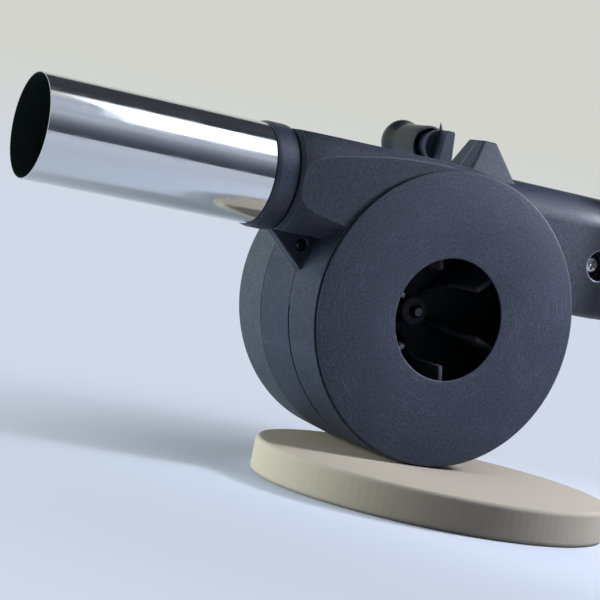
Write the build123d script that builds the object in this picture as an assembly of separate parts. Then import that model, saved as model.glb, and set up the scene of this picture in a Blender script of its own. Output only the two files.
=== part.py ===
# Hand cranked air blower: a drum-shaped fan casing with a steel nozzle tube, a grip and a geared crank.
# Frame: origin at the centre of the air inlet on the lid's outer face, +X towards the grip,
# +Y along the drum axis towards the crank, +Z up. Millimetres.
from build123d import *
import math
import os

# ---- drum and casing ----
drum_radius = 52.5
shell_wall = 2.3
front_seam_y = 1.2
parting_y = 20.6
rear_seam_y = 42.4
seam_gap = 0.3
back_wall_y = 38.2
back_wall = 2.2

# ---- intake lid ----
inlet_radius = 21.35
lid_set_back = 0.5
lid_edge = 0.25
lid_rim = 0.8
lid_plate = 2.0
lid_spigot_depth = 5.0
lid_spigot_wall = 1.8
lid_fit = 0.1
lid_groove_depth = 0.9

# ---- parting seam, sprung open along the lower left ----
open_seam_width = 0.75
open_seam_depth = 1.3
open_seam_angles = (186.0, 232.0)

# ---- duct and neck ----
crown_rise = 1.2
duct_inset = 0.25
neck_x = -67.05
scroll_start_x = -14.0
neck_shoulder = 0.2
neck_chamfer = [(0.0, -1.1), (1.2, 0.4)]
upper_flare = [(5.0, 1.46), (18.3, 3.15), (28.7, 4.2), (39.4, 4.95), (53.0, 5.3)]
lower_flare = [(3.3, 1.15), (5.4, 1.6), (11.3, 2.21), (19.4, 2.91), (30.0, 3.9)]

# ---- nozzle tube, spigot and collar ----
tube_radius = 17.5
tube_wall = 0.5
tube_step = 0.4
mouth_x = -156.3
tube_end_gap = 1.75
spigot_overlap = 6.0
spigot_wall = 1.75
spigot_fit = 0.05
collar_wall = 0.8
collar_front_x = -75.5
collar_groove = 0.25
collar_fit = 0.05
collar_edge = 0.7

# ---- grip ----
grip_root_x = -20.0
grip_straight_x = 66.0
grip_end_x = 131.0
grip_top_drop = 0.1
grip_height = 44.2
grip_half = 14.0
grip_drop = 4.0
grip_nose_power = 3.0
grip_stations = [0.0, 0.3, 0.55, 0.75, 0.88, 0.955]
grip_end_round = 2.4
grip_top_round = 11.0
grip_bottom_round = 2.6
grip_wall = 2.5
grip_screws = [(63.5, 29.0), (108.0, 27.5)]
grip_recess_radius = 5.5
grip_recess_depth = 6.5
grip_boss_wall = 1.7
grip_thread_depth = 10.0

# ---- crown lug ----
lug_base = (4.0, 22.4)
lug_top = (9.3, 14.8)
lug_base_drop = 0.2
lug_height = 11.3
lug_base_depth = 17.0
lug_top_depth = 10.6
lug_root = 2.5
lug_round = 1.0

# ---- gusset under the duct ----
gusset_corners = [(-67.0, 19.9), (-51.9, 6.9), (-36.3, 20.1)]
gusset_half = 2.6
gusset_screw_at = (-53.4, 15.6)
gusset_recess_radius = 2.3
gusset_recess_depth = 1.4

# ---- gear cover ----
cover_rear_y = 64.3
cover_draft = 1.0
cover_wall = 2.2
cover_spigot_depth = 1.4
cover_spigot_wall = 1.4
cover_round = 1.6
cover_screw_inset = 4.1
cover_screw_angles = [85.0, 205.0, 325.0]
cover_post_radius = 3.2
cover_post_end_y = 52.0
cover_recess_radius = 3.1
cover_recess_wall = 1.4
cover_head_seat_y = 56.0

# ---- gear train ----
gear_module = 0.8
pressure_angle = math.radians(25.0)
tooth_thinning = 0.1
flank_steps = 4
crank_teeth = 48
pinion_teeth = 12
compound_teeth = 44
crank_heading = 11.49
crank_gap = 5.1
first_stage_y = (44.0, 49.0)
second_stage_y = (51.0, 55.5)
end_play = 0.2
boss_end_gap = 0.5
cover_boss_gap = 0.8
compound_boss_wall = 2.2
axle_seat = 1.3
axle_cover_seat = 0.9
gear_hub_wall = 2.6
press_gap = 0.01
running_gap = 0.05

# ---- fan ----
blade_angles = [102.5, 42.5, -17.5, -77.5, -137.5, 162.5]
blade_inner = 17.1
blade_outer = 44.0
blade_thickness = 1.8
blade_front_y = 5.5
fan_disc = 1.8
fan_gap = 0.9
hub_radius = 5.25
hub_front_y = 23.0
hub_slope = 0.8
hub_recess_radius = 2.5
hub_recess_depth = 3.0
fan_shaft_radius = 1.5
fan_shaft_front_y = 21.0
bush_wall = 2.0
bush_inset = 0.3
boss_wall = 1.6
clip_wall = 1.7
clip_thickness = 0.6
clip_gap = 0.2

# ---- crank ----
crank_shaft_radius = 3.0
shaft_flat = 0.7
crank_bush_wall = 1.6
seat_relief = 0.6
arm_seat_inset = 0.4
thread_depth = 11.0
washer_wall = 3.5
washer_gap = 0.05
arm_y = (65.0, 76.0)
arm_hub_radius = 8.5
arm_root_half = 7.8
arm_tip_half = 1.85
arm_tip_shift = 0.8
arm_tip_depth = 5.6
arm_tip_rise = 6.3
arm_length = 57.7
flange_radius = 6.3
flange_thickness = 1.0
flange_root = 0.4
flange_round = 0.9
flash_height = 2.8
flash_half = 0.85
flash_y = (71.1, 71.6)
post_radius = 5.2
post_end_y = 97.4
snap_height = 2.2
snap_rise = 0.4
snap_taper = 0.6
snap_room = 0.5
snap_slot = 1.2
snap_slot_depth = 9.0
knob_mouth_radius = 7.6
knob_end_radius = 9.1
knob_waist_y = 92.8
knob_swell_y = 98.8
knob_end_y = 102.4
knob_round = 3.9
knob_bore_radius = 6.6
knob_bearing_y = 88.0
knob_gap = 0.4

# ---- screws: head radius, head height and length under the head ----
screw_radius = 1.4
small_screw_radius = 1.0
pilot_gap = 0.1
cross_width = 0.9
grip_screw_size = (3.5, 2.4, 14.0)
cover_screw_size = (2.9, 2.2, 12.0)
crank_screw_size = (4.2, 2.6, 9.0)
gusset_screw_size = (1.9, 1.0, 3.4)

# ---- derived sizes ----
casing_half = parting_y - front_seam_y
duct_half_height = tube_radius - duct_inset
duct_rear_y = parting_y + casing_half
duct_top_z = drum_radius + crown_rise
tube_z = duct_top_z - duct_half_height
duct_bottom_z = tube_z - duct_half_height
scroll_radius = (scroll_start_x ** 2 / crown_rise + drum_radius + duct_top_z) / 2
chamber_radius = drum_radius - shell_wall
gear_wall_y = back_wall_y + back_wall
cover_front_y = rear_seam_y + seam_gap
cover_inner_y = cover_rear_y - cover_wall
tube_end_x = neck_x - tube_end_gap
collar_rear_x = neck_x - collar_groove
collar_radius = tube_radius + collar_wall
tube_step_x = collar_front_x - tube_step
spigot_x = tube_end_x - spigot_overlap
spigot_radius = tube_radius - tube_wall - tube_step - spigot_fit
spigot_bore = spigot_radius - spigot_wall
lid_radius = drum_radius - lid_set_back
grip_top_z = duct_top_z - grip_top_drop
grip_low_z = grip_top_z - grip_height
grip_front_y = parting_y - grip_half
lug_base_z = duct_top_z - lug_base_drop
lug_top_z = lug_base_z + lug_height
gusset_seat_y = parting_y - gusset_half + gusset_recess_depth
fan_bush_radius = fan_shaft_radius + bush_wall
crank_bush_radius = crank_shaft_radius + crank_bush_wall
cover_rear_radius = drum_radius - cover_draft
cover_screw_circle = cover_rear_radius - cover_wall - cover_screw_inset
boss_end_y = first_stage_y[0] - end_play - boss_end_gap
cover_boss_y = second_stage_y[1] + end_play + cover_boss_gap
crank_offset = gear_module * (crank_teeth / 2 + 1) + crank_gap
first_centre = gear_module * (crank_teeth + pinion_teeth) / 2
second_centre = gear_module * (compound_teeth + pinion_teeth) / 2
arm_tip_y = arm_y[0] + arm_tip_depth


# ---- general helpers ----
def along_y(sketch, y_from, y_to):
    """Extrude a sketch drawn in X, Z from y_from to y_to."""
    plane = Plane((0, y_to, 0), x_dir=(1, 0, 0), z_dir=(0, -1, 0))
    return extrude(plane * sketch, y_to - y_from)


def rod(radius, y_from, y_to, at=(0.0, 0.0)):
    """Round bar parallel to the drum axis."""
    return along_y(Pos(*at) * Circle(radius), y_from, y_to)


def sleeve(outer, inner, y_from, y_to, at=(0.0, 0.0)):
    """Round bar with a through bore."""
    return along_y(Pos(*at) * (Circle(outer) - Circle(inner)), y_from, y_to)


def turned(points, at=(0.0, 0.0)):
    """Turn an outline of (radius, y) points about an axis parallel to Y."""
    profile = Polygon(*points, align=None)
    return Pos(at[0], 0, at[1]) * revolve(profile, Axis.Y)


def tube_x(outer, inner, x_from, x_to):
    """Tube on the nozzle axis."""
    plane = Plane((x_from, parting_y, tube_z), x_dir=(0, 1, 0), z_dir=(1, 0, 0))
    ring = Circle(outer)
    if inner > 0:
        ring -= Circle(inner)
    return extrude(plane * ring, x_to - x_from)


def half_space(y_from, y_to):
    """A block wider than the whole blower between two planes across Y."""
    reach = 4 * (drum_radius - mouth_x)
    return along_y(Rectangle(reach, reach), y_from, y_to)


def polar(radius, angle_deg):
    """Point at a radius and angle in the X, Z plane."""
    angle = math.radians(angle_deg)
    return radius * math.cos(angle), radius * math.sin(angle)


def heading(start, end):
    """Angle from one X, Z point to another, in degrees."""
    return math.degrees(math.atan2(end[1] - start[1], end[0] - start[0]))


def compound_centre():
    """Gear centre that meshes with both the crank gear and the fan pinion."""
    span = math.hypot(*crank_axis)
    along = (second_centre ** 2 - first_centre ** 2 + span ** 2) / (2 * span)
    aside = math.sqrt(second_centre ** 2 - along ** 2)
    unit = (crank_axis[0] / span, crank_axis[1] / span)
    return along * unit[0] + aside * unit[1], along * unit[1] - aside * unit[0]


crank_axis = polar(crank_offset, crank_heading)
knob_axis = (crank_axis[0], crank_axis[1] + arm_length)
compound_axis = compound_centre()


# ---- casing outline ----
def duct_outline(inset, left_x):
    """Side view of the duct: flat top that runs into the drum's crown as one large arc."""
    top = duct_top_z - inset
    bottom = duct_bottom_z + inset
    centre = Vector(scroll_start_x, duct_top_z - scroll_radius)
    end_dir = (centre * -1).normalized()
    mid_dir = (end_dir + Vector(0, 1)).normalized()
    reach = scroll_radius - inset
    end = centre + end_dir * reach
    middle = centre + mid_dir * reach
    start = (scroll_start_x, top)
    corners = [(end.X, end.Y), (0, bottom), (left_x, bottom), (left_x, top), start]
    straight = Polyline(*corners)
    crown = ThreePointArc(start, (middle.X, middle.Y), (end.X, end.Y))
    return make_face(straight + crown)


def flare(steps, inset):
    """Half of the flared neck, turned half way round the nozzle axis."""
    base = casing_half + neck_shoulder - inset
    points = [(neck_x + dx, base + rise) for dx, rise in neck_chamfer + steps]
    last_x, last_radius = points[-1]
    end_x = drum_radius
    corners = [(last_x, last_radius), (end_x, last_radius), (end_x, 0), (neck_x, 0)]
    closing = Polyline(*corners, points[0], points[1])
    return revolve(make_face(Spline(*points[1:]) + closing), Axis.X, 180)


def duct_block(inset, left_x):
    """The duct as a solid: a slab with flat sides, its corners cut by the flared neck."""
    upper = flare(upper_flare, inset)
    lower = Rot(180, 0, 0) * flare(lower_flare, inset)
    neck = Pos(0, parting_y, tube_z) * (upper + lower)
    slab = along_y(duct_outline(inset, left_x), front_seam_y + inset, duct_rear_y - inset)
    return slab & neck


# ---- grip ----
def grip_section(x, mid_z, half_height, half_width):
    """Cross-section of the grip: large rounding on top, small one below."""
    plane = Plane((x, parting_y, mid_z), x_dir=(0, 1, 0), z_dir=(1, 0, 0))
    share = min(half_height / (grip_top_z - grip_low_z) * 2, half_width / grip_half)
    sketch = Rectangle(2 * half_width, 2 * half_height)
    sketch = fillet(sketch.vertices().sort_by(Axis.Y)[2:], grip_top_round * share)
    sketch = fillet(sketch.vertices().sort_by(Axis.Y)[:2], grip_bottom_round * share)
    return plane * sketch


def grip_block(inset, count):
    """The grip: a straight stretch and a rounded nose that narrows as a superellipse."""
    half_height = (grip_top_z - grip_low_z) / 2
    mid_z = (grip_top_z + grip_low_z) / 2
    root = grip_section(grip_root_x, mid_z, half_height - inset, grip_half - inset)
    sections = []
    for share in grip_stations[:count]:
        shrink = (1 - share ** grip_nose_power) ** (1 / grip_nose_power)
        x = grip_straight_x + share * (grip_end_x - grip_straight_x)
        z = mid_z - grip_drop * share ** 2
        sections.append(grip_section(x, z, half_height * shrink - inset, grip_half * shrink - inset))
    return loft([root, sections[0]], ruled=True) + loft(sections)


def grip_outside():
    grip = grip_block(0, len(grip_stations))
    return fillet(grip.faces().sort_by(Axis.X)[-1].edges(), grip_end_round)


# ---- lug, gusset and screws ----
def crown_lug():
    """Truncated pyramid on the crown, carried down into the casing wall."""
    slope = lug_root / (lug_top_z - lug_base_z)

    def outline(ends, depth, z):
        plane = Plane(((ends[0] + ends[1]) / 2, parting_y, z), x_dir=(1, 0, 0), z_dir=(0, 0, 1))
        return plane * Rectangle(ends[1] - ends[0], depth)

    root_ends = [base + (base - top) * slope for base, top in zip(lug_base, lug_top)]
    root_depth = lug_base_depth + (lug_base_depth - lug_top_depth) * slope
    root = outline(root_ends, root_depth, lug_base_z - lug_root)
    lug = loft([root, outline(lug_top, lug_top_depth, lug_top_z)], ruled=True)
    upper_edges = lug.edges().filter_by(lambda e: e.center().Z > lug_base_z)
    return fillet(upper_edges, lug_round)


def pan_screw(at, seat_y, radius, size, facing):
    """Pan-head screw with a cross recess; its head rests at seat_y and looks along facing times Y."""
    head_radius, head_height, length = size
    head = turned([
        (0, 0), (head_radius, 0), (head_radius, head_height * 0.45),
        (head_radius * 0.72, head_height * 0.85), (head_radius * 0.3, head_height), (0, head_height),
    ])
    shank = turned([(0, 0), (radius, 0), (radius, radius - length), (0, -length)])
    slot = Box(cross_width, head_height, head_radius * 1.1)
    cross = Pos(0, head_height * 0.95, 0) * (slot + Rot(0, 90, 0) * slot)
    turn = Rot(0, 0, 180) if facing < 0 else Rot(0, 0, 0)
    return Pos(at[0], seat_y, at[1]) * turn * (head + shank - cross)


# ---- casing ----
def casing_solid():
    """Both shells as one piece before the parting cut."""
    drum = rod(drum_radius, front_seam_y, rear_seam_y)
    duct = duct_block(0, neck_x)
    grip = grip_outside()
    gusset = along_y(Polygon(*gusset_corners, align=None), parting_y - gusset_half, parting_y + gusset_half)
    spigot = tube_x(spigot_radius, 0, spigot_x, neck_x + shell_wall)
    return drum + duct + grip + crown_lug() + gusset + spigot


def casing_hollow():
    """Air space, gear space and the inside of the grip."""
    chamber = rod(chamber_radius, front_seam_y - 1, back_wall_y)
    gear_space = rod(chamber_radius, gear_wall_y, rear_seam_y + 1)
    duct = duct_block(shell_wall, neck_x + shell_wall)
    bore = tube_x(spigot_bore, 0, spigot_x - 1, neck_x + 2 * shell_wall)
    drum = rod(drum_radius, front_seam_y, rear_seam_y)
    grip = grip_block(grip_wall, len(grip_stations) - 1) - drum - duct_block(0, neck_x)
    return chamber + gear_space + duct + bore + grip


def grip_bosses(front):
    """Screw bosses across the inside of the grip."""
    outer = grip_recess_radius + grip_boss_wall
    ends = (grip_front_y, parting_y) if front else (parting_y, 2 * parting_y - grip_front_y)
    bosses = [rod(outer, ends[0], ends[1], at) for at in grip_screws]
    return (bosses[0] + bosses[1]) & grip_block(grip_wall / 2, len(grip_stations) - 1)


def open_seam():
    """Groove where the front shell stands off the rear one."""
    ring = sleeve(drum_radius + 1, drum_radius - open_seam_depth, parting_y - open_seam_width, parting_y)
    corners = [polar(2 * drum_radius, angle) for angle in open_seam_angles]
    return ring & along_y(Polygon((0, 0), *corners, align=None), 0, parting_y)


def shells():
    """Front and rear shell, cut apart at the parting plane."""
    casing = casing_solid() - casing_hollow()
    front = casing & half_space(front_seam_y - 1, parting_y - seam_gap / 2)
    rear = casing & half_space(parting_y + seam_gap / 2, rear_seam_y)
    front += grip_bosses(True) & half_space(0, parting_y - seam_gap / 2)
    rear += grip_bosses(False) & half_space(parting_y + seam_gap / 2, rear_seam_y)
    hole = screw_radius + pilot_gap
    for at in grip_screws:
        front -= rod(grip_recess_radius, grip_front_y - 2, grip_front_y + grip_recess_depth, at)
        front -= rod(hole, grip_front_y, parting_y + 1, at)
        rear -= rod(hole, parting_y - 1, parting_y + grip_thread_depth, at)
    small_hole = small_screw_radius + pilot_gap
    front -= rod(gusset_recess_radius, 0, gusset_seat_y, gusset_screw_at)
    front -= rod(small_hole, 0, parting_y + 1, gusset_screw_at)
    rear -= rod(small_hole, parting_y - 1, parting_y + gusset_half + 1, gusset_screw_at)
    return front - open_seam(), rear + gear_bosses() - gear_bores()


def cover_screw_places():
    return [polar(cover_screw_circle, angle) for angle in cover_screw_angles]


def gear_bosses():
    """Bosses on the gear side of the rear shell's wall."""
    bosses = rod(fan_bush_radius + boss_wall, gear_wall_y, boss_end_y)
    bosses += rod(fan_shaft_radius + compound_boss_wall, gear_wall_y, boss_end_y, compound_axis)
    bosses += rod(crank_shaft_radius + boss_wall, gear_wall_y, boss_end_y, crank_axis)
    for at in cover_screw_places():
        bosses += rod(cover_post_radius, gear_wall_y, cover_post_end_y, at)
    return bosses


def gear_bores():
    """Bores of the rear shell's bosses."""
    bores = rod(fan_bush_radius + press_gap, back_wall_y - 1, boss_end_y + 1)
    bores += rod(fan_shaft_radius + press_gap, gear_wall_y - axle_seat, boss_end_y + 1, compound_axis)
    bores += rod(crank_shaft_radius + running_gap, gear_wall_y, boss_end_y + 1, crank_axis)
    for at in cover_screw_places():
        bores += rod(screw_radius + pilot_gap, gear_wall_y + 1, cover_post_end_y + 1, at)
    return bores


def gear_cover():
    """Tapered cup over the gear train, with its own bearing bosses and sunk screw holes."""
    inner_front = drum_radius - cover_wall
    inner_rear = cover_rear_radius - cover_wall
    corner = cover_round * (1 - math.sqrt(0.5))
    outside = turned([
        (0, cover_front_y), (drum_radius, cover_front_y), (cover_rear_radius, cover_rear_y - cover_round),
        (cover_rear_radius - corner, cover_rear_y - corner),
        (cover_rear_radius - cover_round, cover_rear_y), (0, cover_rear_y),
    ])
    inside = turned([
        (0, cover_front_y - 1), (inner_front, cover_front_y - 1),
        (inner_rear, cover_inner_y), (0, cover_inner_y),
    ])
    plug = chamber_radius - lid_fit
    foot_y = cover_front_y + cover_wall
    spigot = sleeve(plug, plug - cover_spigot_wall, rear_seam_y - cover_spigot_depth, foot_y)
    foot = sleeve(inner_front + cover_wall / 2, plug - cover_spigot_wall, cover_front_y, foot_y)
    cover = outside - inside + spigot + foot
    cover += rod(fan_bush_radius + boss_wall, cover_boss_y + bush_inset, cover_inner_y)
    cover += rod(fan_shaft_radius + compound_boss_wall, cover_boss_y, cover_inner_y, compound_axis)
    cover += rod(crank_bush_radius + boss_wall, cover_boss_y, cover_inner_y, crank_axis)
    for at in cover_screw_places():
        tube = rod(cover_recess_radius + cover_recess_wall, cover_post_end_y + seam_gap, cover_inner_y, at)
        cover += tube & rod(inner_rear + 1, cover_front_y, cover_rear_y)
    cover -= rod(fan_bush_radius + press_gap, cover_boss_y - 1, cover_inner_y)
    axle_end_y = cover_inner_y + axle_cover_seat
    cover -= rod(fan_shaft_radius + press_gap, cover_boss_y - 1, axle_end_y, compound_axis)
    cover -= rod(crank_bush_radius + press_gap, cover_boss_y - 1, cover_rear_y + 1, crank_axis)
    for at in cover_screw_places():
        cover -= rod(cover_recess_radius, cover_head_seat_y, cover_rear_y + 1, at)
        cover -= rod(screw_radius + pilot_gap, cover_post_end_y, cover_rear_y, at)
    return cover


def intake_lid():
    """Flat disc with the round inlet, a rim over the shell's edge and a plug-in ring."""
    plug = chamber_radius - lid_fit
    groove = lid_radius - lid_groove_depth
    return turned([
        (inlet_radius, lid_edge), (inlet_radius + lid_edge, 0), (lid_radius - lid_edge, 0),
        (lid_radius, lid_edge), (lid_radius, lid_rim), (groove, lid_rim), (groove, front_seam_y),
        (plug, front_seam_y), (plug, lid_plate + lid_spigot_depth),
        (plug - lid_spigot_wall, lid_plate + lid_spigot_depth), (plug - lid_spigot_wall, lid_plate),
        (inlet_radius, lid_plate),
    ])


# ---- nozzle ----
def turned_x(points):
    """Turn an outline of (x, radius) points about the nozzle axis."""
    return Pos(0, parting_y, tube_z) * revolve(Polygon(*points, align=None), Axis.X)


def nozzle_tube():
    """Thin tube, rolled down a little where its end sits under the collar."""
    bore = tube_radius - tube_wall
    inner_step_x = tube_step_x - tube_step / 2
    return turned_x([
        (mouth_x, tube_radius), (tube_step_x, tube_radius), (collar_front_x, tube_radius - tube_step),
        (tube_end_x, tube_radius - tube_step), (tube_end_x, bore - tube_step),
        (inner_step_x + tube_step, bore - tube_step), (inner_step_x, bore), (mouth_x, bore),
    ])


def nozzle_collar():
    """Clamping ring over the tube's end, stepped inside so that it also grips the neck."""
    socket = tube_radius - tube_step + collar_fit
    neck = spigot_radius + collar_fit
    stop_x = tube_end_x + collar_fit
    corner = collar_edge * (1 - math.sqrt(0.5))
    return turned_x([
        (collar_front_x, socket), (collar_front_x, collar_radius - collar_edge),
        (collar_front_x + corner, collar_radius - corner), (collar_front_x + collar_edge, collar_radius),
        (collar_rear_x - collar_edge, collar_radius), (collar_rear_x, collar_radius - collar_edge),
        (collar_rear_x, neck), (stop_x, neck), (stop_x, socket),
    ])


# ---- fan ----
def impeller():
    """Six plain blades standing on a disc, with a central hub."""
    disc_y = back_wall_y - fan_gap
    fan = rod(blade_outer, disc_y - fan_disc, disc_y)
    fan += turned([
        (0, hub_front_y), (hub_recess_radius, hub_front_y), (hub_radius, hub_front_y + hub_slope),
        (hub_radius, disc_y), (0, disc_y),
    ])
    blade_root = 0.45 * (disc_y - blade_front_y)
    outline = Polygon(
        (blade_inner, blade_front_y), (blade_outer - 1.5, blade_front_y), (blade_outer, blade_front_y + 1.5),
        (blade_outer, disc_y - fan_disc / 2), (hub_radius + 3, disc_y - fan_disc / 2),
        (blade_inner, disc_y - blade_root), align=None)
    blade = extrude(outline, blade_thickness / 2, both=True)
    for angle in blade_angles:
        fan += Rot(0, -angle, 0) * blade
    fan -= rod(hub_recess_radius, hub_front_y - 1, hub_front_y + hub_recess_depth)
    return fan - rod(fan_shaft_radius + press_gap, hub_front_y, disc_y + 1)


def gear_outline(teeth, turn_deg):
    """Involute spur gear, one tooth centred on turn_deg."""
    pitch = gear_module * teeth / 2
    base = pitch * math.cos(pressure_angle)
    tip = pitch + gear_module
    root = pitch - 1.25 * gear_module
    start = max(root, base)
    half_pitch = math.pi / (2 * teeth) - tooth_thinning / (2 * pitch)
    involute = math.tan(pressure_angle) - pressure_angle
    flank = []
    for step in range(flank_steps):
        radius = start + (tip - start) * step / (flank_steps - 1)
        roll = math.acos(min(1.0, base / radius))
        flank.append((radius, half_pitch + involute - math.tan(roll) + roll))
    if root < base:
        flank.insert(0, (root, flank[0][1]))
    points = []
    for tooth in range(teeth):
        centre = math.radians(turn_deg) + 2 * math.pi * tooth / teeth
        rising = [(radius, centre - half) for radius, half in flank]
        falling = [(radius, centre + half) for radius, half in reversed(flank)]
        points += [polar(radius, math.degrees(angle)) for radius, angle in rising + falling]
    return Polygon(*points, align=None)


def spur(teeth, turn_deg, span, at):
    return along_y(Pos(*at) * gear_outline(teeth, turn_deg), span[0], span[1])


def half_tooth(teeth):
    return 180.0 / teeth


def compound_gear():
    """Large wheel and small pinion moulded as one piece."""
    to_crank = heading(compound_axis, crank_axis)
    to_fan = heading(compound_axis, (0, 0))
    pinion_y = (first_stage_y[0], second_stage_y[0])
    hub_y = first_stage_y[0] - end_play
    gear = spur(pinion_teeth, to_crank + half_tooth(pinion_teeth), pinion_y, compound_axis)
    gear += spur(compound_teeth, to_fan, second_stage_y, compound_axis)
    gear += rod(fan_shaft_radius + boss_wall, hub_y, cover_boss_y - end_play, compound_axis)
    return gear - rod(fan_shaft_radius + running_gap, hub_y - 1, cover_boss_y, compound_axis)


def d_section(radius, gap):
    """Round section with one flat; gap widens it for a bore."""
    flat = radius - shaft_flat + gap
    size = 4 * radius
    return Circle(radius + gap) & (Pos(0, flat - size / 2) * Rectangle(size, size))


def crank_gear():
    to_compound = heading(crank_axis, compound_axis)
    gear = spur(crank_teeth, to_compound, first_stage_y, crank_axis)
    gear += rod(crank_shaft_radius + gear_hub_wall, first_stage_y[0] - end_play, first_stage_y[1], crank_axis)
    bore = Pos(*crank_axis) * d_section(crank_shaft_radius, press_gap)
    return gear - along_y(bore, first_stage_y[0] - 1, first_stage_y[1] + 1)


def fan_pinion():
    """Pinion on the fan shaft, a gap of its teeth facing the large wheel."""
    to_compound = heading((0, 0), compound_axis)
    gear = spur(pinion_teeth, to_compound + half_tooth(pinion_teeth), second_stage_y, (0, 0))
    return gear - rod(fan_shaft_radius + press_gap, second_stage_y[0] - 1, second_stage_y[1] + 1)


# ---- crank ----
def crank_shaft():
    """Steel shaft with flats for the gear and the arm and a tapped end."""
    inner_y = gear_wall_y + end_play
    seat_y = first_stage_y[0] - seat_relief
    flat = Pos(*crank_axis) * d_section(crank_shaft_radius, 0)
    shaft = rod(crank_shaft_radius, inner_y, seat_y, crank_axis) + along_y(flat, seat_y, first_stage_y[1])
    shaft += rod(crank_shaft_radius, first_stage_y[1], arm_y[0], crank_axis)
    shaft += along_y(flat, arm_y[0], arm_y[1] - arm_seat_inset)
    return shaft - rod(screw_radius + pilot_gap, arm_y[1] - thread_depth, arm_y[1], crank_axis)


def arm_wedge():
    """Space the arm's bar fills: full depth at the hub, thin below the knob."""
    low_z = crank_axis[1] - arm_hub_radius
    thick_z = crank_axis[1] + arm_hub_radius
    thin_z = knob_axis[1] - flange_radius
    top_z = knob_axis[1] + flange_radius + flash_height
    side = Polygon(
        (arm_y[0], low_z), (arm_y[1], low_z), (arm_y[1], thick_z),
        (arm_tip_y, thin_z), (arm_tip_y, top_z), (arm_y[0], top_z), align=None)
    plane = Plane((crank_axis[0], 0, 0), x_dir=(0, 1, 0), z_dir=(1, 0, 0))
    return extrude(plane * side, 2 * arm_hub_radius, both=True)


def crank_arm():
    """Tapered arm with hub, end boss and the split snap post of the knob."""
    tip_x = knob_axis[0] + arm_tip_shift
    tip_z = knob_axis[1] + arm_tip_rise
    flange_top = knob_axis[1] + flange_radius
    bar = Polygon(
        (crank_axis[0] - arm_root_half, crank_axis[1]), (crank_axis[0] + arm_root_half, crank_axis[1]),
        (tip_x + arm_tip_half, tip_z), (tip_x - arm_tip_half, tip_z), align=None)
    bar = fillet(bar.vertices().sort_by(Axis.Y)[2:], arm_tip_half / 2)
    arm = along_y(bar, *arm_y) & arm_wedge()
    arm += rod(arm_hub_radius, *arm_y, crank_axis)
    boss = rod(flange_radius, arm_tip_y - flange_root, arm_y[1] + flange_thickness, knob_axis)
    arm += fillet(boss.edges().sort_by(Axis.Y)[-1], flange_round)
    flash = Polygon(
        (-flash_half, -flange_root), (flash_half, -flange_root), (-flash_half, flash_height), align=None)
    arm += along_y(Pos(knob_axis[0], flange_top) * flash, *flash_y)
    arm += rod(post_radius, arm_y[1], post_end_y, knob_axis)
    arm += turned([
        (0, post_end_y), (post_radius, post_end_y), (post_radius + snap_rise, post_end_y + snap_rise),
        (post_radius - snap_taper, post_end_y + snap_height), (0, post_end_y + snap_height),
    ], knob_axis)
    slot = Pos(*knob_axis) * Rectangle(snap_slot, 4 * post_radius)
    arm -= along_y(slot, post_end_y - snap_slot_depth, post_end_y + snap_height + 1)
    bore = Pos(*crank_axis) * d_section(crank_shaft_radius, press_gap)
    return arm - along_y(bore, arm_y[0] - 1, arm_y[1] + 1)


def crank_knob():
    """Hollow sleeve, wider and closed at its far end, with the bearing of the post inside."""
    start_y = arm_y[1] + flange_thickness + knob_gap
    bearing = post_radius + running_gap
    pocket_radius = post_radius + snap_rise + snap_room
    pocket_end = post_end_y + snap_height + snap_room
    shoulder_y = post_end_y - end_play
    waist = (knob_mouth_radius, knob_waist_y)
    nose = (knob_end_radius - knob_round, knob_end_y)
    swell = Spline(waist, (knob_end_radius, knob_swell_y), nose, tangents=[(0, 1), (-1, 0)])
    core = Polyline(nose, (0, knob_end_y), (0, start_y), (knob_mouth_radius, start_y), waist)
    outline = make_face(swell + core)
    hollow = turned([
        (0, start_y - 1), (knob_bore_radius, start_y - 1), (knob_bore_radius, knob_bearing_y),
        (bearing, knob_bearing_y + 1), (bearing, shoulder_y), (pocket_radius, shoulder_y),
        (pocket_radius, pocket_end), (0, pocket_end),
    ])
    return Pos(knob_axis[0], 0, knob_axis[1]) * (revolve(outline, Axis.Y) - hollow)


# ---- assemble ----
def screw_set(places, seat_y, size, facing):
    return Compound([pan_screw(at, seat_y, screw_radius, size, facing) for at in places])


def clip(shaft_radius, ends, at):
    """Retaining ring pressed on a shaft."""
    return sleeve(shaft_radius + clip_wall, shaft_radius + press_gap, *ends, at)


front_shell, rear_shell = shells()
compound_axle_ends = (gear_wall_y - axle_seat, cover_inner_y + axle_cover_seat - end_play / 2)
fan_clip_ends = (boss_end_y + clip_gap, boss_end_y + clip_gap + clip_thickness)
crank_clip_ends = (first_stage_y[1] + clip_gap / 2, first_stage_y[1] + clip_gap / 2 + clip_thickness)
washer_ends = (cover_rear_y + washer_gap, arm_y[0] - washer_gap)
fan_bearing = fan_shaft_radius + running_gap
crank_bearing = crank_shaft_radius + running_gap

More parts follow.
